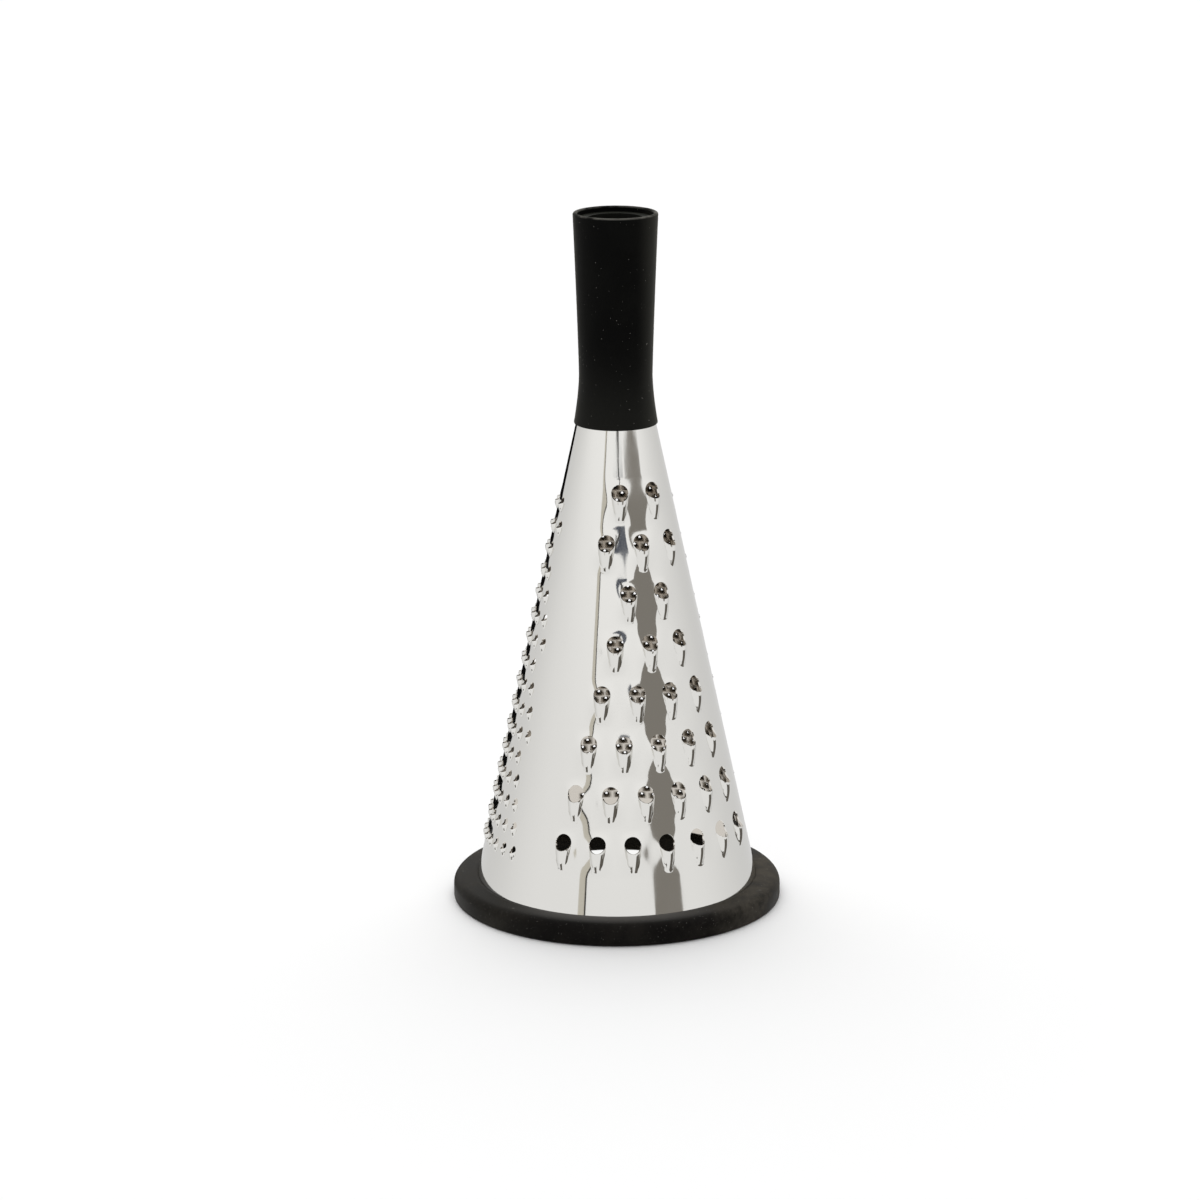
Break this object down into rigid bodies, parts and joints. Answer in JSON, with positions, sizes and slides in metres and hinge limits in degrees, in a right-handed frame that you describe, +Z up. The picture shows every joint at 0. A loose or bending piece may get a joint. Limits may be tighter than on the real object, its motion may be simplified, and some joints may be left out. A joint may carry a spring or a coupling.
{
  "type": "cone grater",
  "caption": "Standing cone grater: a punched steel cone with coarse, medium and fine faces, a rubber foot ring and a waisted black handle.",
  "frame": {"origin": "centre of the foot ring's lower face, on the table", "axes": "+Z up along the cone's axis to the handle; -Y towards the front, with the coarse face 23 degrees from it towards +X"},
  "size_m": [0.1186, 0.1186, 0.25],
  "materials": {
    "polished_steel": "mirror-polished stainless sheet",
    "ring_rubber": "matte charcoal rubber",
    "grip_rubber": "soft-touch matte black",
    "core_plastic": "moulded black plastic",
    "plug_plastic": "moulded black plastic",
    "screw_steel": "zinc-plated steel"
  },
  "bodies": {
    "root": {"grater_cone": "polished_steel", "base_ring": "ring_rubber", "handle_grip": "grip_rubber", "handle_core": "core_plastic", "neck_plug": "plug_plastic", "fixing_screw": "screw_steel", "screw_washer": "screw_steel"}
  },
  "joints": []
}
